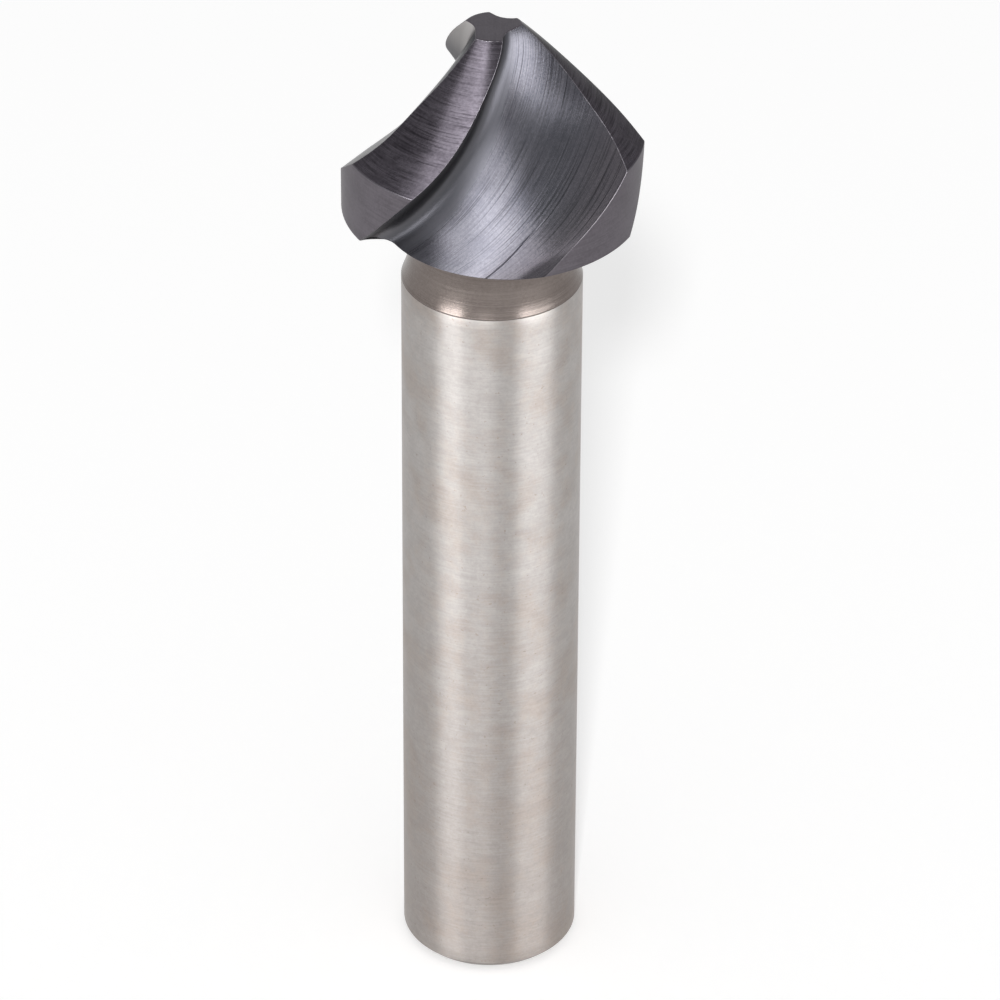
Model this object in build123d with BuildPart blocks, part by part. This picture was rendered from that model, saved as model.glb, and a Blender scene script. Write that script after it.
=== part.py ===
from build123d import *
from collections import namedtuple
from math import radians, sqrt, tan
import os

os.makedirs("parts", exist_ok=True)

# A three-flute countersink bit, turned and ground from one bar of tool steel.
# Millimetres and degrees. The shank stands on z = 0 and the tip points up +Z.

# Turned blank
OVERALL_LENGTH = 60.0
HEAD_DIAMETER = 16.5
TIP_DIAMETER = 3.2
POINT_ANGLE = 90.0
HEAD_LENGTH = 11.0
SHANK_DIAMETER = 10.0
SHANK_BEVEL = 0.4
NECK_DIAMETER = 8.9
NECK_LENGTH = 4.5
NECK_RUN_IN = 2.0
NECK_FILLET = 0.8

# Ground flutes
ROOT_RADIUS = 1.3
OVERCUT = 0.5
WHEEL_REACH = 1.4 * HEAD_DIAMETER

# Where the blank's sections lie
HEAD_RADIUS = HEAD_DIAMETER / 2
TIP_RADIUS = TIP_DIAMETER / 2
SHANK_RADIUS = SHANK_DIAMETER / 2
NECK_RADIUS = NECK_DIAMETER / 2
CONE_LENGTH = (HEAD_RADIUS - TIP_RADIUS) / tan(radians(POINT_ANGLE / 2))
CONE_BASE = OVERALL_LENGTH - CONE_LENGTH
HEAD_UNDERSIDE = OVERALL_LENGTH - HEAD_LENGTH
SHANK_TOP = HEAD_UNDERSIDE - NECK_LENGTH
ABOVE_TIP = -TIP_RADIUS / (2 * CONE_LENGTH)

# One cross-section of a flute. place runs 0 at the tip, 1 at the cone's base
# and 2 at the head's underside. The cutting face runs in from the cutting edge
# to the root, and the flute's back rounds from the root over the crest, where a
# flat flank leaves for the next tooth's heel. edge and over are turns from the
# bit's front to the edge and the crest, and lag is the root's turn past the
# edge. root and crest are radii, as shares of the blank's radius there. climb
# is how many degrees the flank points outwards of the direction of turning.
Section = namedtuple("Section", "place edge root lag crest over climb")
SECTIONS = (
    Section(ABOVE_TIP, 22.7, 0.805, 21.4, 1.250, 115.9, 53.0),
    Section(0.00, 14.2, 0.610, 18.0, 1.100, 102.3, 57.1),
    Section(0.23, -1.5, 0.520, 7.0, 0.970, 84.4, 54.5),
    Section(0.50, -13.4, 0.535, 3.0, 0.850, 67.5, 48.2),
    Section(0.77, -22.4, 0.545, 1.5, 0.800, 57.0, 44.2),
    Section(1.00, -31.2, 0.550, 1.0, 0.770, 47.0, 38.4),
    Section(1.38, -41.5, 0.650, 0.8, 0.870, 29.3, 21.0),
    Section(1.76, -52.5, 0.750, 0.7, 0.950, 15.3, 5.9),
    Section(2.14, -65.6, 0.835, 0.6, 0.992, 4.5, -3.8),
)

# The teeth are spaced unevenly, which keeps the bit from chattering. turn is
# where a flute's cutting edge lies past the first flute's, at the tip and at the
# underside. spread is how much farther its crest lies, at the tip, halfway down
# and at the underside.
Flute = namedtuple("Flute", "turn spread")
FLUTES = (
    Flute(turn=(0.0, 0.0), spread=(0.0, 0.0, 0.0)),
    Flute(turn=(107.5, 125.0), spread=(-18.0, -12.0, -8.0)),
    Flute(turn=(227.8, 216.0), spread=(-1.8, 12.0, 12.0)),
)


def depth_of(place):
    """Distance below the tip of a place on the head."""
    below_cone = max(place - 1, 0) * (HEAD_LENGTH - CONE_LENGTH)
    return min(place, 1) * CONE_LENGTH + below_cone


def blank_radius(place):
    """Radius of the turned head, or of its cone carried on past the tip."""
    return TIP_RADIUS + min(place, 1) * (HEAD_RADIUS - TIP_RADIUS)


def around(radius, turn):
    """Point at a radius, turned anticlockwise from the bit's front."""
    return Vector(0, -radius).rotate(Axis.Z, turn)


def edge_turn(section, flute):
    """Turn of a flute's cutting edge at one section."""
    share = section.place / 2
    return section.edge + flute.turn[0] * (1 - share) + flute.turn[1] * share


def crest_turn(section, flute):
    """Turn of a flute's crest: the spread follows a parabola down the head."""
    share = section.place / 2
    at_tip, halfway, at_underside = flute.spread
    spread = at_tip * (1 - share) * (1 - 2 * share)
    spread += 4 * halfway * share * (1 - share)
    spread += at_underside * share * (2 * share - 1)
    return section.over + edge_turn(section, flute) - section.edge + spread


def run_out(start, direction, radius):
    """Point where a straight flank has run out to a radius."""
    along = start.dot(direction)
    return start + direction * (sqrt(along**2 - start.dot(start) + radius**2) - along)


with BuildPart() as countersink_bit:
    # Turned blank: shank, neck, head and pointed cone
    with BuildSketch(Plane.XZ):
        with BuildLine():
            Line((0, 0), (SHANK_RADIUS, 0))
            Line((SHANK_RADIUS, 0), (SHANK_RADIUS, SHANK_TOP))
            Spline(
                (SHANK_RADIUS, SHANK_TOP),
                (NECK_RADIUS, SHANK_TOP + NECK_RUN_IN),
                tangents=[(0, 1), (0, 1)],
            )
            Line((NECK_RADIUS, SHANK_TOP + NECK_RUN_IN), (NECK_RADIUS, HEAD_UNDERSIDE))
            Line((NECK_RADIUS, HEAD_UNDERSIDE), (HEAD_RADIUS, HEAD_UNDERSIDE))
            Line((HEAD_RADIUS, HEAD_UNDERSIDE), (HEAD_RADIUS, CONE_BASE))
            Line((HEAD_RADIUS, CONE_BASE), (TIP_RADIUS, OVERALL_LENGTH))
            Line((TIP_RADIUS, OVERALL_LENGTH), (0, OVERALL_LENGTH))
            Line((0, OVERALL_LENGTH), (0, 0))
        outline = make_face()
        bottom_corner = outline.vertices().sort_by_distance((SHANK_RADIUS, 0))[0]
        chamfer(bottom_corner, SHANK_BEVEL)
        neck_corner = outline.vertices().sort_by_distance((NECK_RADIUS, HEAD_UNDERSIDE))[0]
        fillet(neck_corner, NECK_FILLET)
    revolve(axis=Axis.Z)

    # Each flute twists down the cone and runs out shallow through the underside
    for flute in FLUTES:
        for section in SECTIONS:
            radius = blank_radius(section.place)
            edge = around(radius + OVERCUT, edge_turn(section, flute))
            root = around(section.root * radius, edge_turn(section, flute) + section.lag)
            crest = around(section.crest * radius, crest_turn(section, flute))
            flank = Vector(1, 0).rotate(Axis.Z, crest_turn(section, flute) - section.climb)
            heel = run_out(crest, flank, radius + OVERCUT)
            with BuildSketch(Plane.XY.offset(OVERALL_LENGTH - depth_of(section.place))):
                with BuildLine():
                    Line(edge, root)
                    TangentArc(crest, root, tangent=-flank)
                    Line(crest, heel)
                    Line(heel, heel.normalized() * WHEEL_REACH)
                    Line(heel.normalized() * WHEEL_REACH, edge.normalized() * WHEEL_REACH)
                    Line(edge.normalized() * WHEEL_REACH, edge)
                wheel_shape = make_face()
                fillet(wheel_shape.vertices().sort_by_distance(root)[0], ROOT_RADIUS)
        loft(mode=Mode.SUBTRACT)

countersink_bit.part.label = "countersink_bit"
export_step(countersink_bit.part, "parts/countersink_bit.step")
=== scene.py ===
"""Looks of a three-flute countersink bit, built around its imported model.

Lengths are in millimetres and turns in degrees until a mesh is written, which is in
metres. The shank stands on z = 0, the tip points up +Z, and turns run anticlockwise,
seen from the tip, from the bit's front at -Y.
"""

from __future__ import annotations

import logging
import math
from dataclasses import astuple, dataclass
from enum import Enum

import bmesh
import bpy
import numpy as np
from mathutils import Matrix, Vector

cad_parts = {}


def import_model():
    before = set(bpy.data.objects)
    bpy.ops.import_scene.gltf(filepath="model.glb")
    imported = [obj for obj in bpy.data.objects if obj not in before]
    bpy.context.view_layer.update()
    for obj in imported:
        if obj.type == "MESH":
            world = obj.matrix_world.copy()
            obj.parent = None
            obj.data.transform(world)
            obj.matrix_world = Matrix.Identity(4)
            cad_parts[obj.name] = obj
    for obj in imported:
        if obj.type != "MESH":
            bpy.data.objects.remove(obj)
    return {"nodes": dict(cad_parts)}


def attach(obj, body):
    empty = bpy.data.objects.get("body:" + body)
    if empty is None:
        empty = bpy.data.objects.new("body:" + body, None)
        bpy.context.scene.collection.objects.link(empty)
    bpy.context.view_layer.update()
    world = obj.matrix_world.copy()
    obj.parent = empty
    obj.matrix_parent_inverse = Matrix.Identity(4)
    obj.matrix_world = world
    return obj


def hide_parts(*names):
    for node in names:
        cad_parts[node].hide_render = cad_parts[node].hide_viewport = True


MM = 0.001
NODE = "countersink_bit"
UV_NAME = "ground_surface"
RIM_NAME = "rim"

# Places across a flute's wall: on its cutting face, fillet, arc and flank
WALL_PLACES = (24, 48, 260, 80)
# How far apart the flutes' lengthwise coordinates start, in millimetres
FLUTES_APART = 50.0
# Points that lie nearer than this, in metres, are one
SAME_POINT = 2e-8
WHITE = (1.0, 1.0, 1.0)

log = logging.getLogger("countersink")

Array = np.ndarray
Rgb = tuple[float, float, float]
Span = tuple[float, float]
Socket = bpy.types.NodeSocket
Value = float | Rgb | Socket


class Finish(Enum):
    """The ground and turned surfaces of the bit, in the order of the mesh's materials."""

    FLUTE = 0
    CONE_LAND = 1
    HEAD_LAND = 2
    TIP = 3
    UNDERSIDE = 4
    NECK = 5
    SHANK = 6
    SHANK_END = 7


# ---- curves and grids


def smooth_through(knots: Array, values: Array, at: Array) -> Array:
    """Natural cubic spline through the values at the knots.

    The slopes' changes m solve the usual banded system, and between two knots the
    curve is the chord plus (w^3 - w) h^2 m / 6 from either end, w the share of the gap.

    Args:
        knots: Rising positions of the known values.
        values: The known values.
        at: Positions to read the curve at.

    Returns:
        The curve's value at each position.
    """
    gap = np.diff(knots)
    slope = np.diff(values) / gap
    system = np.eye(len(knots))
    change = np.zeros(len(knots))
    inner = np.arange(1, len(knots) - 1)
    system[inner, inner - 1] = gap[:-1]
    system[inner, inner] = 2 * (gap[:-1] + gap[1:])
    system[inner, inner + 1] = gap[1:]
    change[inner] = 6 * np.diff(slope)
    bend = np.linalg.solve(system, change)
    span = np.clip(np.searchsorted(knots, at) - 1, 0, len(gap) - 1)
    high = (at - knots[span]) / gap[span]
    low = 1 - high
    chord = low * values[span] + high * values[span + 1]
    lift = (low**3 - low) * bend[span] + (high**3 - high) * bend[span + 1]
    return chord + lift * gap[span] ** 2 / 6


def on_circle(radius: Array, turn: Array) -> Array:
    """Points at a radius and a turn: x = r sin t, y = -r cos t."""
    angle = np.radians(turn)
    return np.stack([radius * np.sin(angle), -radius * np.cos(angle)], -1)


def lifted(plan: Array, height: Array | float) -> Array:
    """Points in space: those of a plan, each at its height."""
    return np.concatenate([plan, np.broadcast_to(height, plan.shape[:-1])[..., None]], -1)


def swung(centre: Array, start: Array, stop: Array, share: Array) -> Array:
    """Arcs of circles, one for each row, from start to stop the short way round.

    Each point is centre + R(share * swing) (start - centre), R turning by the signed
    angle between the two spokes.

    Args:
        centre: Circle centres, rows by 2.
        start: Points where the arcs start, rows by 2.
        stop: Points where they stop, rows by 2.
        share: Shares of the arc to place points at.

    Returns:
        Points, rows by shares by 2.
    """
    a, b = start - centre, stop - centre
    swing = np.arctan2(a[:, 0] * b[:, 1] - a[:, 1] * b[:, 0], (a * b).sum(-1))
    turn = swing[:, None] * share[None, :]
    x = a[:, :1] * np.cos(turn) - a[:, 1:] * np.sin(turn)
    y = a[:, :1] * np.sin(turn) + a[:, 1:] * np.cos(turn)
    return centre[:, None, :] + np.stack([x, y], -1)


def along(start: Array, stop: Array, share: Array) -> Array:
    """Straight runs, one for each row: start + share * (stop - start)."""
    return start[:, None, :] + share[None, :, None] * (stop - start)[:, None, :]


def eased(count: int, ends: float) -> Array:
    """Shares from 0 to 1 that crowd towards both ends.

    The share is s - ends * sin(2 pi s) / (2 pi), with s running evenly.
    """
    even = np.linspace(0, 1, count)
    return even - ends * np.sin(2 * np.pi * even) / (2 * np.pi)


def run_length(points: Array) -> Array:
    """Length run along each row of points, starting at 0."""
    step = np.linalg.norm(np.diff(points, axis=1), axis=-1)
    return np.concatenate([np.zeros((len(points), 1)), np.cumsum(step, axis=1)], 1)


def read_rows(known: Array, values: Array, at: Array) -> Array:
    """Reads each row's values at new positions, all rows in one interpolation.

    Row k is shifted by k times a stride longer than any row, so that one rising
    sequence holds them all.

    Args:
        known: Rising positions, rows by n.
        values: Values there, rows by n.
        at: Positions to read, rows by m.

    Returns:
        The values, rows by m.
    """
    stride = float(known.max()) + 10.0
    shift = stride * np.arange(len(known))[:, None]
    flat = np.interp((at + shift).ravel(), (known + shift).ravel(), values.ravel())
    return flat.reshape(at.shape)


@dataclass(frozen=True)
class Patch:
    """One surface given on a grid, with the finish it takes.

    Attributes:
        points: Grid of places in millimetres, m by n by 3.
        across: First surface coordinate in millimetres, the way a highlight spreads.
        lengthwise: Second surface coordinate in millimetres, the way the lines run.
        rim: Distance to the nearest ground edge in millimetres.
        finish: The finish that the patch takes.
    """

    points: Array
    across: Array
    lengthwise: Array
    rim: Array
    finish: Finish


# ---- the turned blank


@dataclass(frozen=True)
class Blank:
    """Sizes of the turned bar before its flutes are ground."""

    overall_length: float = 60.0
    head_diameter: float = 16.5
    tip_diameter: float = 3.2
    point_angle: float = 90.0
    head_length: float = 11.0
    shank_diameter: float = 10.0
    shank_bevel: float = 0.4
    neck_diameter: float = 8.9
    neck_length: float = 4.5
    neck_fillet: float = 0.8
    edge_break: float = 0.025

    @property
    def head_radius(self) -> float:
        """Radius of the head's cylinder."""
        return self.head_diameter / 2

    @property
    def tip_radius(self) -> float:
        """Radius of the flat at the tip."""
        return self.tip_diameter / 2

    @property
    def cone_length(self) -> float:
        """Height of the head's cone."""
        rise = self.head_radius - self.tip_radius
        return rise / math.tan(math.radians(self.point_angle / 2))

    @property
    def flat_inset(self) -> float:
        """How far inside the head's outline the flats at its two ends stop."""
        return 1.5 * self.edge_break

    @property
    def underside(self) -> float:
        """Height of the head's flat underside."""
        return self.overall_length - self.head_length

    def radius_at(self, depth: Array) -> Array:
        """Radius of the head at depths below the tip, the cone carried on above it."""
        share = np.minimum(depth / self.cone_length, 1)
        return self.tip_radius + share * (self.head_radius - self.tip_radius)

    def depth_of(self, place: Array) -> Array:
        """Depth of a place: 0 is the tip, 1 the cone's base and 2 the underside."""
        cylinder = self.head_length - self.cone_length
        return np.minimum(place, 1) * self.cone_length + np.maximum(place - 1, 0) * cylinder


@dataclass(frozen=True)
class Section:
    """One cross-section of a flute, as the wheel cuts it.

    Attributes:
        place: 0 at the tip, 1 at the cone's base, 2 at the underside.
        edge: Turn of the cutting edge.
        root: Root radius as a share of the blank's radius.
        lag: How far the root is turned past the edge.
        crest: Crest radius as a share of the blank's radius.
        over: Turn of the crest.
        climb: Degrees that the flank points outwards of the direction of turning.
    """

    place: float
    edge: float
    root: float
    lag: float
    crest: float
    over: float
    climb: float


SECTIONS = (
    Section(-0.12, 22.7, 0.805, 21.4, 1.250, 115.9, 53.0),
    Section(0.00, 14.2, 0.610, 18.0, 1.100, 102.3, 57.1),
    Section(0.23, -1.5, 0.520, 7.0, 0.970, 84.4, 54.5),
    Section(0.50, -13.4, 0.535, 3.0, 0.853, 68.4, 51.0),
    Section(0.77, -22.4, 0.545, 1.5, 0.781, 57.2, 45.1),
    Section(1.00, -31.2, 0.550, 1.0, 0.756, 46.0, 38.4),
    Section(1.38, -41.5, 0.650, 0.8, 0.879, 33.7, 29.2),
    Section(1.76, -52.5, 0.750, 0.7, 0.983, 25.5, 17.6),
    Section(2.14, -65.6, 0.835, 0.6, 1.001, 18.4, -7.9),
)


@dataclass(frozen=True)
class Flute:
    """One ground flute.

    Attributes:
        name: The flute's name in the log.
        turn: How far it lies past the first flute, at the tip and at the underside.
        spread: How much farther its crest lies, at the tip, halfway and at the underside.
        root_radius: Radius of the fillet in its root.
        overcut: How far outside the blank the cutting face starts.
        run_past: How far outside the blank the flank stops.
    """

    name: str
    turn: Span = (0.0, 0.0)
    spread: tuple[float, float, float] = (0.0, 0.0, 0.0)
    root_radius: float = 1.3
    overcut: float = 0.5
    run_past: float = 0.4

    def turned(self, share: Array) -> Array:
        """Turn past the first flute at shares of the head's places."""
        return self.turn[0] * (1 - share) + self.turn[1] * share

    def spread_at(self, share: Array) -> Array:
        """Parabola through the three spreads at shares of the head's places."""
        tip, halfway, underside = self.spread
        bowed = 4 * halfway * share * (1 - share)
        ends = tip * (1 - share) * (1 - 2 * share) + underside * share * (2 * share - 1)
        return bowed + ends


@dataclass(frozen=True)
class FluteForm:
    """A flute's wall at a stack of depths.

    Attributes:
        wall: Dense places across the wall in plan, rows by n by 2, edge first.
        reach: Length run from the wall's start to each place.
        start: Length at which the wall meets the blank at the cutting edge.
        heel: Length at which it meets the blank at the next tooth's heel.
        settled: Length at which the root's fillet has ended.
    """

    wall: Array
    reach: Array
    start: Array
    heel: Array
    settled: Array

    def plan(self, run: Array) -> Array:
        """Places in plan at lengths run across each row of the wall."""
        return np.stack([read_rows(self.reach, self.wall[..., axis], run) for axis in (0, 1)], -1)


def flute_form(flute: Flute, blank: Blank, depth: Array) -> FluteForm:
    """Works out a flute's wall at each depth.

    In plan the wall is a straight cutting face, a fillet, an arc that leaves the
    crest along the flank, and the flat flank. The arc's radius R comes from
    |crest - root|^2 = -2 R n.(crest - root), n being square to the flank, and the
    fillet's centre lies rho from the face and |R + rho| from the arc's centre, which
    is a quadratic in the fillet's place along the face.

    Args:
        flute: The flute.
        blank: The blank that it is cut in.
        depth: Rising depths below the tip.

    Returns:
        The wall, cut to the blank.
    """
    place, edge_turn, root_share, lag, crest_share, over, climb = np.array([astuple(s) for s in SECTIONS]).T
    knots = blank.depth_of(place)
    turned = flute.turned(place / 2)
    edge_turn = edge_turn + turned
    crest_turn = over + turned + flute.spread_at(place / 2)

    def read(values: Array) -> Array:
        """Reads a section value at each depth."""
        return smooth_through(knots, values, depth)

    radius = blank.radius_at(depth)
    edge = on_circle(radius + flute.overcut, read(edge_turn))
    root = on_circle(read(root_share * blank.radius_at(knots)), read(edge_turn + lag))
    crest = on_circle(read(crest_share * blank.radius_at(knots)), read(crest_turn))
    flank = np.radians(read(crest_turn - climb))
    flank = np.stack([np.cos(flank), np.sin(flank)], -1)

    # Arc from the root to the crest
    inward = np.stack([-flank[:, 1], flank[:, 0]], -1)
    back = crest - root
    arc_radius = -(back**2).sum(-1) / (2 * (inward * back).sum(-1))
    arc_centre = crest + inward * arc_radius[:, None]

    # Fillet between the face and the arc
    rho = flute.root_radius
    face = edge - root
    face /= np.linalg.norm(face, axis=-1)[:, None]
    open_side = np.stack([-face[:, 1], face[:, 0]], -1)
    open_side *= np.sign((open_side * back).sum(-1))[:, None]
    base = root + open_side * rho - arc_centre
    b = 2 * (face * base).sum(-1)
    c = (base**2).sum(-1) - (arc_radius + rho) ** 2
    run = -2 * c / (b + np.sign(b) * np.sqrt(b * b - 4 * c))
    leave = root + face * run[:, None]
    centre = leave + open_side * rho
    settle = arc_centre + (centre - arc_centre) * (arc_radius / (arc_radius + rho))[:, None]

    # Run the flank out to a ring outside the blank
    ring = np.maximum(radius, np.linalg.norm(crest, axis=-1)) + flute.run_past
    dot = (crest * flank).sum(-1)
    step = np.sqrt(dot**2 - (crest**2).sum(-1) + ring**2) - dot
    last = crest + flank * step[:, None]

    shares = [np.linspace(0, 1, count) for count in WALL_PLACES]
    wall = np.concatenate(
        [
            along(edge, leave, shares[0]),
            swung(centre, leave, settle, shares[1][1:]),
            swung(arc_centre, settle, crest, shares[2][1:]),
            along(crest, last, shares[3][1:]),
        ],
        1,
    )
    reach = run_length(wall)
    gap = np.linalg.norm(wall, axis=-1) - radius[:, None]
    rows = np.arange(len(depth))

    def crossing(before: Array) -> Array:
        """Where the wall crosses the blank, each time past the point before it."""
        share = gap[rows, before] / (gap[rows, before] - gap[rows, before + 1])
        return reach[rows, before] + share * (reach[rows, before + 1] - reach[rows, before])

    start = crossing(np.argmax(gap < 0, axis=1) - 1)
    heel = crossing(gap.shape[1] - 1 - np.argmax(gap[:, ::-1] < 0, axis=1))
    settled = reach[:, WALL_PLACES[0] + WALL_PLACES[1] - 2]
    return FluteForm(wall, reach, start, heel, settled)


@dataclass(frozen=True)
class FlutedHead:
    """The coated head: three flutes, the lands between them and the tip.

    Rows and columns are counts of points, crowded towards the edges, and tip_rings
    says where the tip's rings lie, as shares of its outline.
    """

    blank: Blank
    flutes: tuple[Flute, ...]
    cone_rows: int = 92
    cylinder_rows: int = 56
    wall_columns: int = 92
    land_columns: int = 34
    tip_rings: tuple[float, ...] = (0.0, 0.3, 0.55, 0.75, 0.88, 0.95, 1.0)
    crowding: float = 0.85

    def depths(self) -> Array:
        """Depths of the rows: those on the cone, then those on the cylinder."""
        broken = self.blank.edge_break
        cone, head = self.blank.cone_length, self.blank.head_length
        upper = broken + (cone - 2 * broken) * eased(self.cone_rows, self.crowding)
        lower = cone + broken + (head - cone - 2 * broken) * eased(self.cylinder_rows, self.crowding)
        return np.concatenate([upper, lower])

    def wall(self, flute: Flute, depth: Array) -> tuple[Patch, Array]:
        """One flute's ground wall.

        The grid's columns run from just past the cutting edge to just before the
        heel, at equal shares of the wall's length, crowded towards both ends. The
        flutes' lengthwise coordinates lie apart, so no two have the same lines.

        Args:
            flute: The flute.
            depth: Depths of the rows.

        Returns:
            The wall, and the turns of its first edge and of its heel, rows by 2.
        """
        form = flute_form(flute, self.blank, depth)
        broken = self.blank.edge_break
        share = eased(self.wall_columns, self.crowding)
        width = form.heel - form.start - 2 * broken
        place = (form.start + broken)[:, None] + width[:, None] * share[None, :]
        points = lifted(form.plan(place), (self.blank.overall_length - depth)[:, None])
        ends = form.plan(np.stack([form.start, form.heel], -1))
        turns = np.degrees(np.arctan2(ends[..., 0], -ends[..., 1]))
        rim = np.minimum(place - form.start[:, None], form.heel[:, None] - place)
        rim = np.minimum(rim, np.minimum(depth, self.blank.head_length - depth)[:, None])
        lengthwise = depth[:, None] + FLUTES_APART * self.flutes.index(flute)
        return Patch(points, place - form.settled[:, None], lengthwise, rim, Finish.FLUTE), turns

    def lands(self, before: Patch, after: Patch, heel: Array, edge: Array, depth: Array) -> list[Patch]:
        """The lands of one tooth, between a flute's heel and the next cutting edge.

        A land's places lie on the blank, at equal shares of the turn from heel to
        edge. Its outer columns are the neighbouring walls' own, so a narrow chamfer
        breaks each edge.

        Args:
            before: The wall whose heel the tooth starts at.
            after: The wall whose cutting edge it ends at.
            heel: Turns of the heel.
            edge: Turns of the cutting edge.
            depth: Depths of the rows.

        Returns:
            The conical land and the cylindrical land.
        """
        edge = heel + (edge - heel) % 360
        radius = self.blank.radius_at(depth)
        broken = np.degrees(self.blank.edge_break / radius)
        share = eased(self.land_columns, self.crowding)
        width = edge - heel - 2 * broken
        turn = (heel + broken)[:, None] + width[:, None] * share[None, :]
        inner = lifted(on_circle(radius[:, None], turn), (self.blank.overall_length - depth)[:, None])
        points = np.concatenate([before.points[:, -1:], inner, after.points[:, :1]], 1)
        around = np.radians(turn - heel[:, None]) * radius[:, None]
        around = np.concatenate([0 * around[:, :1], around, around[:, -1:] + self.blank.edge_break], 1)
        rim = np.minimum(around, around[:, -1:] - around)
        level = np.abs(depth - self.blank.cone_length)
        level = np.minimum(level, np.minimum(depth, self.blank.head_length - depth))
        rim = np.minimum(rim, level[:, None])
        down = depth[:, None]
        cone, cylinder = slice(0, self.cone_rows + 1), slice(self.cone_rows, None)
        return [
            Patch(points[cone], down[cone], around[cone], rim[cone], Finish.CONE_LAND),
            Patch(points[cylinder], down[cylinder], around[cylinder], rim[cylinder], Finish.HEAD_LAND),
        ]

    def patches(self) -> tuple[list[Patch], Array]:
        """Builds the head.

        Returns:
            Its patches, and the closed outline just above the underside.
        """
        depth = self.depths()
        walls, turns = zip(*(self.wall(flute, depth) for flute in self.flutes))
        made = list(walls)
        loops: list[Array] = []
        for here, wall in enumerate(walls):
            following = (here + 1) % len(walls)
            tooth = self.lands(wall, walls[following], turns[here][:, 1], turns[following][:, 0], depth)
            made += tooth
            rows = np.concatenate([tooth[0].points, tooth[1].points[1:]])
            loops += [wall.points[:, :-1], rows[:, :-1]]
            log.info("%s flute: wall %s, lands %s", self.flutes[here].name, wall.points.shape[:2], rows.shape[:2])
        loop = np.concatenate(loops, 1)
        loop = np.concatenate([loop, loop[:, :1]], 1)
        made.append(self.tip(loop[0]))
        return made, loop[-1]

    def tip(self, outline: Array) -> Patch:
        """The flat at the tip: its outline drawn in towards the axis, ring by ring."""
        radius = np.linalg.norm(outline[:, :2], axis=-1)
        inset = 1 - self.blank.flat_inset / radius
        scale = np.array(self.tip_rings)[:, None] * inset[None, :]
        plan = outline[None, :, :2] * scale[..., None]
        points = np.concatenate([lifted(plan, self.blank.overall_length), outline[None]])
        rim = np.concatenate([(1 - scale) * radius, 0 * radius[None]])
        return Patch(points, points[..., 0], points[..., 1], rim, Finish.TIP)


# ---- neck and shank


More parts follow.
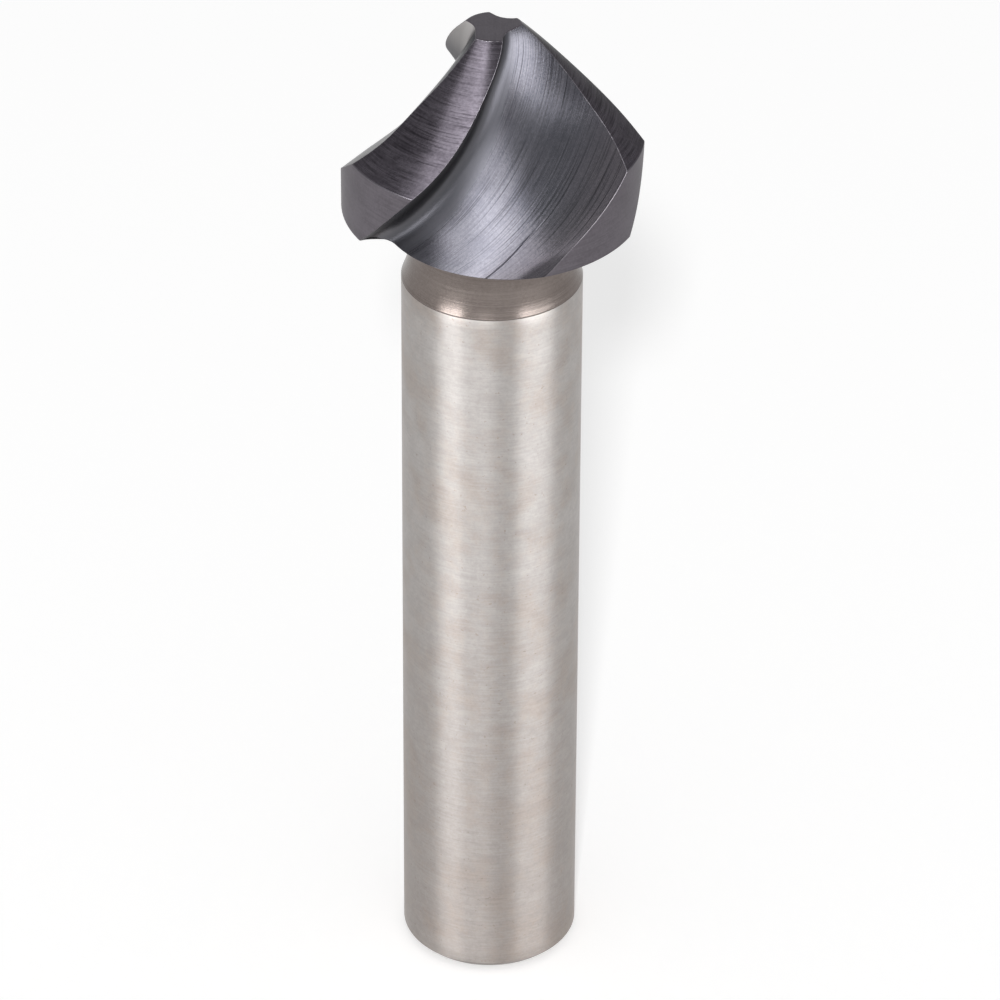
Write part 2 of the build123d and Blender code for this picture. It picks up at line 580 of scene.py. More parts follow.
@dataclass(frozen=True)
class TurnedShank:
    """Everything below the head: its flat underside, the neck, the shank and its end.

    Rings and rows are counts of points, run_in is the height of the hollow arc from
    the neck out to the shank, and end_rings are shares of the foot's radius.
    """

    blank: Blank
    run_in: float = 2.8
    underside_rings: int = 9
    fillet_rows: int = 9
    neck_rows: int = 8
    run_in_rows: int = 30
    shank_rows: int = 14
    crowding: float = 0.8
    end_rings: tuple[float, ...] = (0.96, 0.8, 0.5, 0.12, 0.0)

    def even_turns(self, outline: Array) -> Array:
        """Evenly spaced turns in degrees, as many as the outline's, from its first."""
        first = np.degrees(np.arctan2(outline[0, 0], -outline[0, 1]))
        return first + np.linspace(0, 360, len(outline))

    def under_head(self, outline: Array) -> Patch:
        """The flat underside, from the head's outline in to the neck's fillet.

        Radius and turn both pass evenly from the outline's own to those of the
        fillet's top circle.

        Args:
            outline: Closed outline of the head just above its underside.

        Returns:
            The underside.
        """
        inner = self.blank.neck_diameter / 2 + self.blank.neck_fillet
        radius = np.linalg.norm(outline[:, :2], axis=-1)
        turn = np.degrees(np.unwrap(np.arctan2(outline[:, 0], -outline[:, 1])))
        share = np.linspace(0, 1, self.underside_rings)[:, None]
        ring = (radius - self.blank.flat_inset) * (1 - share) + inner * share
        swing = turn * (1 - share) + self.even_turns(outline) * share
        plan = on_circle(ring, swing)
        points = np.concatenate([outline[None], lifted(plan, self.blank.underside)])
        rim = np.concatenate([0 * radius[None], radius - ring])
        return Patch(points, points[..., 0], points[..., 1], rim, Finish.UNDERSIDE)

    def revolved(self, profile: Array, turn: Array, finish: Finish) -> Patch:
        """Turns a profile about the axis.

        Args:
            profile: Radius and height of each row.
            turn: Turns of the columns.
            finish: The finish that the surface takes.

        Returns:
            The turned surface.
        """
        run = run_length(profile[None])[0][:, None]
        around = np.radians(turn - turn[0]) * self.blank.shank_diameter / 2
        points = lifted(on_circle(profile[:, :1], turn), profile[:, 1:])
        return Patch(points, run, around, np.minimum(run, run[-1] - run), finish)

    def neck_profile(self) -> Array:
        """Fillet, neck and run-in: a quarter circle, a line and a hollow arc.

        The arc leaves the neck upright. Its radius a = (h^2 + w^2) / (2 w) takes it
        over the width w in the height h, so it is a - sqrt(a^2 - y^2) out at a drop y.
        """
        blank = self.blank
        neck, shank = blank.neck_diameter / 2, blank.shank_diameter / 2
        quarter = np.linspace(0, np.pi / 2, self.fillet_rows)
        fillet_r = neck + blank.neck_fillet * (1 - np.sin(quarter))
        fillet_z = blank.underside - blank.neck_fillet * (1 - np.cos(quarter))
        top = blank.underside - blank.neck_length + self.run_in
        neck_z = np.linspace(fillet_z[-1], top, self.neck_rows)[1:]
        share = np.linspace(0, 1, self.run_in_rows)[1:]
        width, drop = shank - neck, self.run_in * share
        arc = (self.run_in**2 + width**2) / (2 * width)
        step_r = neck + arc - np.sqrt(arc**2 - drop**2)
        step_z = top - drop
        radius = np.concatenate([fillet_r, np.full(len(neck_z), neck), step_r])
        return np.stack([radius, np.concatenate([fillet_z, neck_z, step_z])], -1)

    def patches(self, outline: Array) -> list[Patch]:
        """Builds everything below the head.

        Args:
            outline: Closed outline of the head just above its underside.

        Returns:
            The patches, from the underside down to the shank's end.
        """
        blank = self.blank
        turn = self.even_turns(outline)
        shank, bevel, broken = blank.shank_diameter / 2, blank.shank_bevel, blank.edge_break
        top = blank.underside - blank.neck_length
        height = top + (bevel + broken - top) * eased(self.shank_rows, self.crowding)
        wall = np.stack([np.full(self.shank_rows, shank), height], -1)
        foot = shank - bevel
        rings = foot * np.array(self.end_rings)
        end = np.array(
            [[shank, bevel + broken], [shank - broken, bevel - broken], [foot + broken, broken], [foot - broken, 0]]
        )
        end = np.concatenate([end, np.stack([rings, 0 * rings], -1)])
        log.info("shank: %d columns, %d rows", len(turn), self.shank_rows)
        return [
            self.under_head(outline),
            self.revolved(self.neck_profile(), turn, Finish.NECK),
            self.revolved(wall, turn, Finish.SHANK),
            self.revolved(end, turn, Finish.SHANK_END),
        ]


# ---- one closed mesh


def put_in_scene(name: str, data: bpy.types.ID) -> bpy.types.Object:
    """Makes an object of a mesh, lamp or camera and puts it in the scene."""
    made = bpy.data.objects.new(name, data)
    bpy.context.scene.collection.objects.link(made)
    return made


def gathered(patches: list[Patch], name: str) -> Array:
    """One of the patches' values at all of their points, in one row."""
    return np.concatenate([np.broadcast_to(getattr(p, name), p.points.shape[:2]).ravel() for p in patches])


def faces_of(rows: int, columns: int, first: int) -> Array:
    """Corner numbers of a grid's quads, its vertices numbered row by row from first."""
    corner = first + np.arange(rows * columns).reshape(rows, columns)
    quads = [corner[:-1, :-1], corner[1:, :-1], corner[1:, 1:], corner[:-1, 1:]]
    return np.stack(quads, -1).reshape(-1, 4)


def closed_mesh(name: str, patches: list[Patch], looks: dict[Finish, bpy.types.Material]) -> bpy.types.Object:
    """Writes the patches into one mesh and joins them where they meet.

    Args:
        name: The object's name.
        patches: Surfaces that share their borders' points.
        looks: The material of each finish.

    Returns:
        The object, closed and smooth, with its surface coordinates and rim distances.
    """
    points = np.concatenate([p.points.reshape(-1, 3) for p in patches]) * MM
    surface = np.stack([gathered(patches, "across"), gathered(patches, "lengthwise")], -1)
    sizes = [p.points.shape[:2] for p in patches]
    firsts = np.cumsum([0] + [m * n for m, n in sizes[:-1]])
    faces = [faces_of(m, n, first) for (m, n), first in zip(sizes, firsts)]
    finish = np.concatenate([np.full(len(f), p.finish.value) for f, p in zip(faces, patches)])
    quads = np.concatenate(faces)

    mesh = bpy.data.meshes.new(name)
    mesh.from_pydata(points, [], quads)
    mesh.polygons.foreach_set("material_index", finish)
    uv = mesh.uv_layers.new(name=UV_NAME)
    uv.uv.foreach_set("vector", surface[quads.ravel()].ravel())
    painted_edge_light = mesh.attributes.new(RIM_NAME, "FLOAT", "POINT")
    painted_edge_light.data.foreach_set("value", gathered(patches, "rim"))
    for entry in Finish:
        mesh.materials.append(looks[entry])

    whole = bmesh.new()
    whole.from_mesh(mesh)
    bmesh.ops.remove_doubles(whole, verts=whole.verts, dist=SAME_POINT)
    bmesh.ops.recalc_face_normals(whole, faces=whole.faces)
    open_edges = sum(1 for edge in whole.edges if len(edge.link_faces) != 2)
    whole.to_mesh(mesh)
    whole.free()
    mesh.shade_smooth()
    log.info("%s: %d vertices, %d faces, %d open edges", name, len(mesh.vertices), len(mesh.polygons), open_edges)
    return put_in_scene(name, mesh)


# ---- finishes


class Graph:
    """Puts nodes into a material or world, with their inputs set or linked."""

    def __init__(self, owner: bpy.types.Material | bpy.types.World) -> None:
        """Empties the owner's nodes."""
        owner.use_nodes = True
        self.tree = owner.node_tree
        self.tree.nodes.clear()

    def put(self, kind: str, inputs: dict[str | int, Value], **settings: object) -> bpy.types.Node:
        """Adds one node.

        Args:
            kind: The node's type.
            inputs: A number, colour or socket for each input.
            **settings: The node's own properties.

        Returns:
            The node.
        """
        node = self.tree.nodes.new(kind)
        for key, value in settings.items():
            setattr(node, key, value)
        for key, value in inputs.items():
            if isinstance(value, Socket):
                self.tree.links.new(value, node.inputs[key])
            else:
                node.inputs[key].default_value = value
        return node

    def maths(self, operation: str, a: Value, b: Value = 0.0) -> Socket:
        """One step of arithmetic."""
        return self.put("ShaderNodeMath", {0: a, 1: b}, operation=operation).outputs[0]

    def ranged(self, value: Value, low: float, high: float, start: float = 0.0, stop: float = 1.0) -> Socket:
        """Eases from start to stop as the value goes from low to high."""
        inputs = {0: value, 1: low, 2: high, 3: start, 4: stop}
        return self.put("ShaderNodeMapRange", inputs, interpolation_type="SMOOTHSTEP").outputs[0]

    def tint(self, share: Value, a: Value, b: Value, kind: str = "MIX") -> Socket:
        """Mixes two colours."""
        a, b = [(*v, 1.0) if isinstance(v, tuple) else v for v in (a, b)]
        return self.put("ShaderNodeMix", {0: share, 6: a, 7: b}, data_type="RGBA", blend_type=kind).outputs[2]

    def shaded(self, colour: Socket, share: Value, outside: Rgb, inside: Rgb) -> Socket:
        """A colour multiplied by one tint where the share is 0 and by another where it is 1."""
        return self.tint(1.0, colour, self.tint(share, outside, inside), "MULTIPLY")

    def surface(self) -> tuple[Socket, Socket]:
        """The two surface coordinates, in millimetres."""
        uv = self.put("ShaderNodeUVMap", {}, uv_map=UV_NAME).outputs[0]
        split = self.put("ShaderNodeSeparateXYZ", {0: uv})
        return split.outputs[0], split.outputs[1]

    def place(self) -> Socket:
        """The place on the object, in millimetres."""
        coordinates = self.put("ShaderNodeTexCoord", {}).outputs["Object"]
        inputs = {0: coordinates, "Scale": 1 / MM}
        return self.put("ShaderNodeVectorMath", inputs, operation="SCALE").outputs[0]

    def noise(self, at: Value, scale: float, detail: float, ragged: float) -> Socket:
        """Noise at a place, about 0 to 1, with so many finer layers and so ragged."""
        inputs = {"Vector": at, "Scale": scale, "Detail": detail, "Roughness": ragged}
        return self.put("ShaderNodeTexNoise", inputs).outputs[0]


@dataclass(frozen=True)
class Grain:
    """Grinding lines: noise drawn out along the surface.

    Attributes:
        pitch: Lines to the millimetre across.
        length: Millimetres that a line runs.
        seed: Shifts the pattern.
    """

    pitch: float
    length: float
    seed: float = 0.0

    def lines(self, graph: Graph) -> Socket:
        """The lines' height, from 0 to 1."""
        across, lengthwise = graph.surface()
        x = graph.maths("MULTIPLY", across, self.pitch)
        y = graph.maths("DIVIDE", lengthwise, self.length)
        at = graph.put("ShaderNodeCombineXYZ", {0: x, 1: y, 2: self.seed}).outputs[0]
        return graph.noise(at, 1.0, 2.0, 0.6)


@dataclass(frozen=True)
class GroundSteel:
    """Ground or turned steel, uncoated or coated.

    Attributes:
        dark: Colour where it reflects least.
        light: Colour where it reflects most.
        cloud: Millimetres across its soft clouds.
        fine: Fine lines.
        coarse: Coarse lines.
        spread: Anisotropy, across the lines.
        gloss: Roughness where it is smoothest.
        haze: Roughness where it is roughest.
        relief: Height of the lines in millimetres.
        specks: Specks to the millimetre.
        grit: Height of the specks in millimetres.
        painted_edge_light: Colour painted along the ground edges: a painted highlight where it is lighter than the
            surface, painted shade where it is darker.
        painted_edge_width: Millimetres from the edges that the painted edge colour covers.
        painted_edge_full: Share of that width where the painted edge colour is at full strength.
        grazing: How much is reflected near grazing, 1 being plain metal.
        scored: What the colour is multiplied by in the deepest fine lines.
        fine_share: Share of the fine lines, the rest being coarse ones.
        shades: Levels at which the colour is dark and light.
        glosses: Levels of the lines at which it is smoothest and roughest.
        deepest: Levels of the fine lines between which scored fades out.
    """

    name: str
    dark: Rgb
    light: Rgb
    cloud: float
    fine: Grain
    coarse: Grain
    spread: float = 0.2
    gloss: float = 0.36
    haze: float = 0.44
    relief: float = 0.0015
    specks: float = 7.0
    grit: float = 0.001
    # Default edge colour: a painted highlight along the edges of the dark tip and underside
    painted_edge_light: Rgb = (0.2, 0.19, 0.2)
    painted_edge_width: float = 0.02
    painted_edge_full: float = 0.3
    grazing: float = 1.0
    scored: float = 1.0
    fine_share: float = 0.65
    shades: Span = (0.36, 0.64)
    glosses: Span = (0.3, 0.7)
    deepest: Span = (0.35, 0.44)

    def streaks(self, graph: Graph) -> Socket:
        """Fine and coarse lines together, from 0 to 1."""
        fine = graph.maths("MULTIPLY", self.fine.lines(graph), self.fine_share)
        coarse = graph.maths("MULTIPLY", self.coarse.lines(graph), 1 - self.fine_share)
        return graph.maths("ADD", fine, coarse)

    def colour(self, graph: Graph, streaks: Socket, speckle: Socket) -> Socket:
        """Colour, half from the lines and a quarter each from the specks and soft clouds."""
        clouds = graph.noise(graph.place(), 1 / self.cloud, 3.0, 0.6)
        share = graph.maths("MULTIPLY", graph.maths("ADD", clouds, speckle), 0.25)
        share = graph.maths("ADD", share, graph.maths("MULTIPLY", streaks, 0.5))
        plain = graph.tint(graph.ranged(share, *self.shades), self.dark, self.light)
        shallow = graph.ranged(self.fine.lines(graph), *self.deepest)
        return graph.shaded(plain, shallow, (self.scored,) * 3, WHITE)

    def roughness(self, graph: Graph, streaks: Socket) -> Socket:
        """Roughness from the lines."""
        return graph.ranged(streaks, *self.glosses, self.gloss, self.haze)

    def height(self, graph: Graph, streaks: Socket, speckle: Socket) -> Socket:
        """Height of the surface in metres."""
        lines = graph.maths("MULTIPLY", streaks, self.relief * MM)
        return graph.maths("ADD", lines, graph.maths("MULTIPLY", speckle, self.grit * MM))

    def material(self) -> bpy.types.Material:
        """Builds the material.

        Returns:
            The material, with its lines, speckle, clouds and painted edge light.
        """
        made = bpy.data.materials.new(self.name)
        graph = Graph(made)
        streaks = self.streaks(graph)
        speckle = graph.noise(graph.place(), self.specks, 2.0, 0.6)
        rim = graph.put("ShaderNodeAttribute", {}, attribute_name=RIM_NAME).outputs["Fac"]
        # Painted edge light: colour painted along the ground edges, a highlight where it is lighter and shade where
        # it is darker
        painted_light = graph.ranged(rim, self.painted_edge_full * self.painted_edge_width, self.painted_edge_width, 1.0, 0.0)
        colour = graph.tint(painted_light, self.colour(graph, streaks, speckle), self.painted_edge_light)
        height = self.height(graph, streaks, speckle)
        bump = graph.put("ShaderNodeBump", {"Strength": 1.0, "Distance": 1.0, "Height": height})
        tangent = graph.put("ShaderNodeTangent", {}, direction_type="UV_MAP", uv_map=UV_NAME)
        shader = graph.put(
            "ShaderNodeBsdfPrincipled",
            {
                "Base Color": colour,
                "Metallic": 1.0,
                "Roughness": self.roughness(graph, streaks),
                "Specular Tint": (self.grazing,) * 3 + (1.0,),
                "Anisotropic": self.spread,
                "Tangent": tangent.outputs[0],
                "Normal": bump.outputs[0],
            },
        )
        graph.put("ShaderNodeOutputMaterial", {"Surface": shader.outputs[0]})
        return made


@dataclass(frozen=True)
class Scratch:
    """A dark scratch in the first flute, in millimetres.

    It starts at a place across and down the wall, where it fades in. It is straight
    along the lines at first and then bends off, by so much for each millimetre down.
    Floor and mouth are half its width there, and stained is how far its tone covers.
    """

    across: float = 5.72
    down: float = 8.1
    fade: float = 1.4
    straight: float = 1.2
    bend: float = 0.27
    floor: float = 0.015
    mouth: float = 0.06
    depth: float = 0.02
    tone: Rgb = (0.015, 0.015, 0.02)
    stained: float = 0.75

    def shape(self, graph: Graph) -> Socket:
        """1 in the scratch and 0 beside it."""
        across, lengthwise = graph.surface()
        bent = graph.maths("MAXIMUM", graph.maths("SUBTRACT", lengthwise, self.down + self.straight), 0.0)
        off = graph.maths("SUBTRACT", across, graph.maths("MULTIPLY", bent, self.bend))
        off = graph.maths("ABSOLUTE", graph.maths("SUBTRACT", off, self.across))
        line = graph.ranged(off, self.floor, self.mouth, 1.0, 0.0)
        line = graph.maths("MULTIPLY", line, graph.ranged(lengthwise, self.down, self.down + self.fade))
        return graph.maths("MULTIPLY", line, graph.maths("LESS_THAN", lengthwise, FLUTES_APART))


@dataclass(frozen=True)
class FluteSteel(GroundSteel):
    """A flute's coated wall: smooth in its root, lined over its back, and scratched once.

    Attributes:
        root: Colour at the bottom of the root.
        wall: Colour of the root's wall below the cutting edge, painted lighter to lift the reflected shade there.
        painted_lift_end: Where across the painted lift of the wall passes into the root's colour.
        painted_light: Painted highlight colour on the last flute's root near the tip, standing in for the light it
            reflects.
        painted_light_end: Where down that flute the painted highlight ends.
        heel: What the colour is multiplied by towards the heel: a browner tint with a painted soft glow.
        heel_tint_and_glow_start: Where across the wall that comes in.
        root_end: Where across the wall the root's smooth band ends at the tip.
        widening: How much wider the band is for each millimetre down.
        root_haze: How much rougher it is.
    """

    root: Rgb = (0.060, 0.060, 0.068)
    wall: Rgb = (0.16, 0.157, 0.168)
    painted_lift_end: Span = (-1.6, -0.2)
    painted_light: Rgb = (0.42, 0.405, 0.40)
    painted_light_end: Span = (1.0, 4.5)
    heel: Rgb = (1.14, 1.07, 1.04)
    heel_tint_and_glow_start: Span = (4.5, 8.5)
    root_end: Span = (-0.6, 0.5)
    widening: float = 0.10
    root_haze: float = 0.18
    scratch: Scratch = Scratch()

    def lined(self, graph: Graph) -> Socket:
        """0 in the smooth root, which widens down the flute, and 1 on the lined back."""
        across, lengthwise = graph.surface()
        down = graph.maths("MODULO", lengthwise, FLUTES_APART)
        past = graph.maths("SUBTRACT", across, graph.maths("MULTIPLY", down, self.widening))
        return graph.ranged(past, *self.root_end)

    def colour(self, graph: Graph, streaks: Socket, speckle: Socket) -> Socket:
        """Colour of the back, browner and lit by a painted soft glow towards the heel, then the root with its
        painted lift and painted highlight, and the scratch.
        """
        across, lengthwise = graph.surface()
        plain = super().colour(graph, streaks, speckle)
        # Browner tint towards the heel, with a painted soft glow that brightens it
        back = graph.shaded(plain, graph.ranged(across, *self.heel_tint_and_glow_start), WHITE, self.heel)
        # Painted highlight on the last flute's root near the tip
        down = graph.maths("SUBTRACT", lengthwise, 2 * FLUTES_APART)
        last = graph.maths("GREATER_THAN", down, 0.0)
        painted_light = graph.maths("MULTIPLY", last, graph.ranged(down, *self.painted_light_end, 1.0, 0.0))
        # The root's wall below the cutting edge is painted lighter, lifting its reflected shade
        root = graph.tint(graph.ranged(across, *self.painted_lift_end), self.wall, self.root)
        root = graph.tint(painted_light, root, self.painted_light)
        whole = graph.tint(self.lined(graph), root, back)
        cover = graph.maths("MULTIPLY", self.scratch.shape(graph), self.scratch.stained)
        return graph.tint(cover, whole, self.scratch.tone)

    def roughness(self, graph: Graph, streaks: Socket) -> Socket:
        """Roughness from the lines, duller in the root."""
        root = graph.maths("SUBTRACT", 1.0, self.lined(graph))
        back = super().roughness(graph, streaks)
        return graph.maths("ADD", back, graph.maths("MULTIPLY", root, self.root_haze))

    def height(self, graph: Graph, streaks: Socket, speckle: Socket) -> Socket:
        """Height of the lines where there are any, less the scratch."""
        lines = graph.maths("MULTIPLY", super().height(graph, streaks, speckle), self.lined(graph))
        cut = graph.maths("MULTIPLY", self.scratch.shape(graph), self.scratch.depth * MM)
        return graph.maths("SUBTRACT", lines, cut)


@dataclass(frozen=True)
class Blotches:
    """Irregular spots, so many to the millimetre, where noise rises between two levels.

    The colour is multiplied by one tint outside the spots and by another inside.
    """

    scale: float
    detail: float
    ragged: float
    levels: Span
    outside: Rgb = WHITE
    inside: Rgb = WHITE

    def over(self, graph: Graph, colour: Socket) -> Socket:
        """The colour with the spots on it."""
        noise = graph.noise(graph.place(), self.scale, self.detail, self.ragged)
        return graph.shaded(colour, graph.ranged(noise, *self.levels), self.outside, self.inside)


@dataclass(frozen=True)
class StainedSteel(GroundSteel):
    """Uncoated ground steel, faintly stained and specked, with painted shade darkening it towards its foot.

    Attributes:
        blotches: Its stains, mottling and dark specks.
        foot: What the colour is multiplied by at the foot, a painted shade.
        painted_shade_height: Height in millimetres at which that has faded out.
    """

    blotches: tuple[Blotches, ...] = (
        Blotches(0.3, 8.0, 0.78, (0.44, 0.64), inside=(0.93, 0.885, 0.85)),
        Blotches(2.4, 4.0, 0.7, (0.36, 0.64), outside=(0.92, 0.92, 0.92)),
        Blotches(4.5, 2.0, 0.5, (0.68, 0.74), inside=(0.84, 0.80, 0.77)),
    )
    foot: Rgb = (0.86, 0.835, 0.82)
    painted_shade_height: float = 36.0

    def colour(self, graph: Graph, streaks: Socket, speckle: Socket) -> Socket:
        """Colour of the steel, then its blotches and the painted shade towards its foot."""
        colour = super().colour(graph, streaks, speckle)
        for spots in self.blotches:
            colour = spots.over(graph, colour)
        # Painted shade, darker towards the shank's foot
        height = graph.put("ShaderNodeSeparateXYZ", {0: graph.place()}).outputs[2]
        return graph.shaded(colour, graph.ranged(height, 0.0, self.painted_shade_height), self.foot, WHITE)


# Edge colours are painted light: lighter than the surface for a painted highlight, darker for painted shade
FINISHES: dict[Finish, GroundSteel] = {
    Finish.FLUTE: FluteSteel(
        "ground_flute", dark=(0.046, 0.046, 0.055), light=(0.072, 0.071, 0.081), cloud=2.2,
        fine=Grain(16, 5.0, 1), coarse=Grain(7, 9.0, 2), spread=0.4, gloss=0.19, haze=0.24, relief=0.0046,
        grit=0.0024, painted_edge_light=(0.10, 0.098, 0.105), painted_edge_width=0.03, grazing=0.5, scored=0.58,
    ),
    Finish.CONE_LAND: GroundSteel(
        "ground_cone", dark=(0.027, 0.024, 0.029), light=(0.062, 0.056, 0.066), cloud=2.0,
        fine=Grain(14, 2.2, 3), coarse=Grain(6, 4.0, 4), spread=0.5, gloss=0.22, haze=0.30, relief=0.0026,
        painted_edge_light=(0.2, 0.19, 0.21), painted_edge_width=0.035, grazing=0.6, scored=0.7,
    ),
    Finish.HEAD_LAND: GroundSteel(
        "ground_head", dark=(0.104, 0.094, 0.106), light=(0.142, 0.129, 0.145), cloud=1.5,
        fine=Grain(9, 3.0, 5), coarse=Grain(4, 4.0, 6), spread=0.3, relief=0.0012,
        painted_edge_light=(0.16, 0.15, 0.16), painted_edge_width=0.03, grazing=0.75,
    ),
    Finish.TIP: GroundSteel(
        "ground_tip", dark=(0.053, 0.047, 0.056), light=(0.078, 0.070, 0.081), cloud=1.2,
        fine=Grain(9, 2.0, 7), coarse=Grain(4, 2.0, 8),
    ),
    Finish.UNDERSIDE: GroundSteel(
        "turned_underside", dark=(0.09, 0.082, 0.09), light=(0.12, 0.11, 0.12), cloud=1.5,
        fine=Grain(9, 2.0, 9), coarse=Grain(4, 2.0, 10),
    ),
    # The neck's edge colour is painted shade along its two ends
    Finish.NECK: GroundSteel(
        "turned_neck", dark=(0.148, 0.124, 0.114), light=(0.20, 0.172, 0.159), cloud=1.6,
        fine=Grain(9, 14.0, 11), coarse=Grain(5, 20.0, 12), spread=0.3, gloss=0.20, haze=0.27, relief=0.006,
        painted_edge_light=(0.10, 0.085, 0.08), painted_edge_width=0.04, grazing=0.85,
    ),
    # The shank's edge colour is faint painted shade along its top edge and its bevel
    Finish.SHANK: StainedSteel(
        "ground_shank", dark=(0.395, 0.370, 0.356), light=(0.465, 0.443, 0.429), cloud=1.6,
        fine=Grain(9, 1.5, 13), coarse=Grain(4, 3.0, 14), spread=0.9, gloss=0.38, haze=0.42, relief=0.0002,
        grit=0.0008, painted_edge_light=(0.36, 0.33, 0.31), grazing=0.85,
    ),
    Finish.SHANK_END: GroundSteel(
        "turned_end", dark=(0.25, 0.226, 0.21), light=(0.31, 0.285, 0.27), cloud=2.0,
        fine=Grain(9, 12.0, 15), coarse=Grain(4, 16.0, 16), spread=0.4, gloss=0.32, haze=0.42,
        painted_edge_light=(0.3, 0.27, 0.25),
    ),
}


# ---- studio


def seen_from(azimuth: float, elevation: float) -> Vector:
    """Direction from the bit: azimuth 0 is its front and 90 its right."""
    a, e = math.radians(azimuth), math.radians(elevation)
    return Vector((math.sin(a) * math.cos(e), -math.cos(a) * math.cos(e), math.sin(e)))


@dataclass(frozen=True)
class Softbox:
    """A soft rectangular lamp, aimed at the bit, in millimetres and degrees.

    Attributes:
        azimuth: How far round from the bit's front it hangs.
        elevation: How far above the floor.
        radiance: How bright its face is, 1 being white.
        roll: How far its top leans towards the bit's left.
        mirrored: Whether metal shows it.
        lights_floor: Whether it lights matt surfaces.
    """

    name: str
    azimuth: float
    elevation: float
    width: float
    height: float
    radiance: float
    distance: float = 420.0
    roll: float = 0.0
    mirrored: bool = True
    lights_floor: bool = True

    def place(self, target: Vector) -> None:
        """Hangs the lamp: its power is radiance times pi times its area."""
        data = bpy.data.lights.new(self.name, "AREA")
        data.shape = "RECTANGLE"
        data.size, data.size_y = self.width * MM, self.height * MM
        data.energy = self.radiance * math.pi * data.size * data.size_y
        lamp = put_in_scene(self.name, data)
        heading = seen_from(self.azimuth, self.elevation)
        lamp.location = target + heading * self.distance * MM
        facing = heading.to_track_quat("Z", "Y").to_matrix()
        lamp.rotation_euler = (facing @ Matrix.Rotation(math.radians(self.roll), 3, "Z")).to_euler()
        lamp.visible_glossy = self.mirrored
        lamp.visible_diffuse = self.lights_floor
        lamp.visible_camera = False
        log.info("lamp %s: %.4f W", self.name, data.energy)


@dataclass(frozen=True)
class Studio:
    """Pale floor, pale surroundings and soft lamps.

    The floor's white is the share of the light that it scatters. Its glow where it is
    seen and the surroundings' light are as bright as white at 1.
    """

    floor_size: float = 3000.0
    floor_white: float = 0.8
    floor_glow: float = 0.308
    surroundings: float = 0.62
    aimed_at: float = 45.0
    lamps: tuple[Softbox, ...] = (
        Softbox("key_left", -50, 42, 240, 480, 5.1, lights_floor=False),
        Softbox("key_slant", -17, 38, 170, 370, 5.4, roll=42.0, lights_floor=False),
        Softbox("low_left", -50, 9, 200, 70, 9.0, lights_floor=False),
        Softbox("fill_right", 55, 23, 320, 235, 8.3, lights_floor=False),
        Softbox("shadow_maker", -2.5, 35.5, 86, 86, 414.0, 1500.0, mirrored=False),
    )

    @staticmethod
    def shown(graph: Graph) -> Socket:
        """1 for rays from the camera, or mirrored or let through by the object."""
        path = graph.put("ShaderNodeLightPath", {}).outputs
        seen = graph.maths("MAXIMUM", path["Is Camera Ray"], path["Is Glossy Ray"])
        return graph.maths("MAXIMUM", seen, path["Is Transmission Ray"])

    def surround(self) -> None:
        """Sets the world: white where it is seen, dimmer as light."""
        world = bpy.context.scene.world = bpy.data.worlds.new("surroundings")
        graph = Graph(world)
        strength = graph.put("ShaderNodeMapRange", {0: self.shown(graph), 3: self.surroundings})
        sky = graph.put("ShaderNodeBackground", {"Color": (1, 1, 1, 1), "Strength": strength.outputs[0]})
        graph.put("ShaderNodeOutputWorld", {"Surface": sky.outputs[0]})

    def lay_floor(self) -> None:
        """Lays the floor: a pale matt face that glows faintly where it is seen."""
        half = self.floor_size / 2 * MM
        corners = [(-half, -half, 0), (half, -half, 0), (half, half, 0), (-half, half, 0)]
        mesh = bpy.data.meshes.new("floor")
        mesh.from_pydata(corners, [], [(0, 1, 2, 3)])
        paper = bpy.data.materials.new("floor_paper")
        graph = Graph(paper)
        white = (self.floor_white,) * 3 + (1.0,)
        matt = graph.put("ShaderNodeBsdfDiffuse", {"Color": white})
        seen = graph.maths("MULTIPLY", self.shown(graph), self.floor_glow)
        glow = graph.put("ShaderNodeEmission", {"Color": (1, 1, 1, 1), "Strength": seen})
        both = graph.put("ShaderNodeAddShader", {0: matt.outputs[0], 1: glow.outputs[0]})
        graph.put("ShaderNodeOutputMaterial", {"Surface": both.outputs[0]})
        mesh.materials.append(paper)
        put_in_scene("floor", mesh)

    def set_up(self) -> None:
        """Lays the floor, sets the surroundings and hangs the lamps."""
        self.surround()
        self.lay_floor()
        for lamp in self.lamps:
            lamp.place(Vector((0, 0, self.aimed_at * MM)))


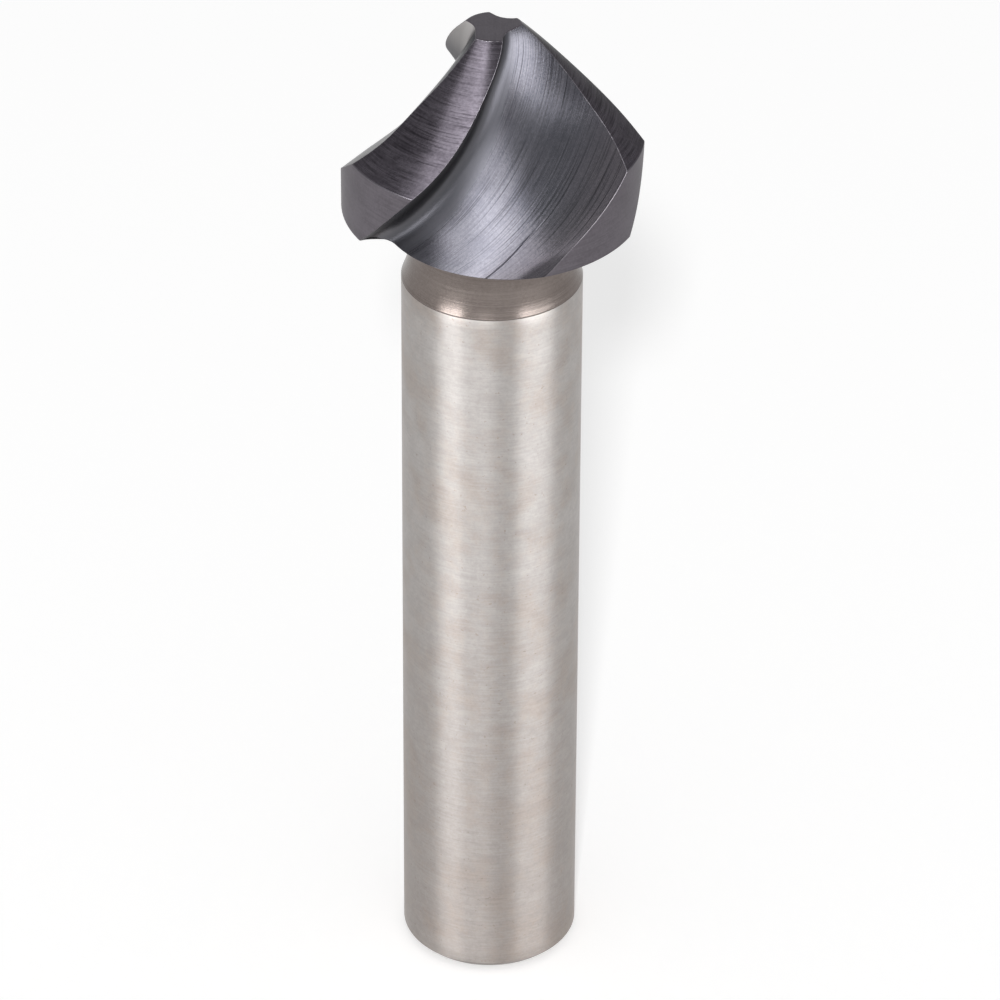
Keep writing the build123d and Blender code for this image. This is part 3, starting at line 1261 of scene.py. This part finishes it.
@dataclass(frozen=True)
class Viewpoint:
    """Where the camera stands, in millimetres and degrees.

    It is aimed at a height on the bit's axis, from so far off and so far up, and is
    then turned left by yaw, tipped up by pitch and rolled clockwise by roll.
    """

    distance: float = 354.28
    elevation: float = 33.624
    aimed_at: float = 30.0
    yaw: float = -0.0815
    pitch: float = -0.0670
    roll: float = -0.2580
    lens: float = 226.87
    sensor: float = 36.0

    def stand(self) -> bpy.types.Object:
        """Makes the camera: aimed at the axis, then turned by yaw, pitch and roll.

        Returns:
            The camera.
        """
        away = seen_from(0, self.elevation)
        right = Vector((1, 0, 0))
        axes = [right, right.cross(-away), -away]
        for about, angle in ((1, self.yaw), (0, self.pitch), (2, self.roll)):
            turn = Matrix.Rotation(math.radians(angle), 3, axes[about])
            axes = [axis if axis is axes[about] else turn @ axis for axis in axes]
        right, up, forward = axes
        data = bpy.data.cameras.new("camera")
        data.sensor_width = self.sensor
        data.lens = self.lens
        data.clip_start, data.clip_end = 0.01, 10.0
        camera = put_in_scene("camera", data)
        place = (Vector((0, 0, self.aimed_at)) + away * self.distance) * MM
        facing = Matrix((right, up, -forward)).transposed()
        camera.matrix_world = Matrix.Translation(place) @ facing.to_4x4()
        bpy.context.scene.camera = camera
        return camera


# ---- the whole bit


@dataclass(frozen=True)
class CountersinkBit:
    """The bit: a fluted head on a turned shank, in one closed piece."""

    blank: Blank = Blank()
    flutes: tuple[Flute, ...] = (
        Flute("first"),
        Flute("second", (107.5, 125.0), (-18.0, -12.0, -8.0)),
        Flute("third", (227.8, 216.0), (-1.8, 10.5, 12.0)),
    )

    def build(self) -> bpy.types.Object:
        """Builds and dresses the bit.

        Returns:
            The object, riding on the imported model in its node's place.
        """
        looks = {entry: FINISHES[entry].material() for entry in Finish}
        head, outline = FlutedHead(self.blank, self.flutes).patches()
        below = TurnedShank(self.blank).patches(outline)
        bit = closed_mesh("ground_bit", head + below, looks)
        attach(bit, "root")
        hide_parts(NODE)
        return bit


def main(packed: dict[str, object]) -> None:
    """Builds the bit, its studio and its camera.
    """
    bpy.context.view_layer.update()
    view = bpy.context.scene.view_settings
    view.view_transform = "Standard"
    bit = CountersinkBit().build()
    log.info("bit: %s in place of %s", bit.name, ", ".join(packed["nodes"]))
    Studio().set_up()
    camera = Viewpoint().stand()
    log.info("camera: %.1f mm lens", camera.data.lens)


if __name__ == "__main__":
    logging.basicConfig(level=logging.INFO, format="%(name)s: %(message)s")
    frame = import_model()
    main(frame)
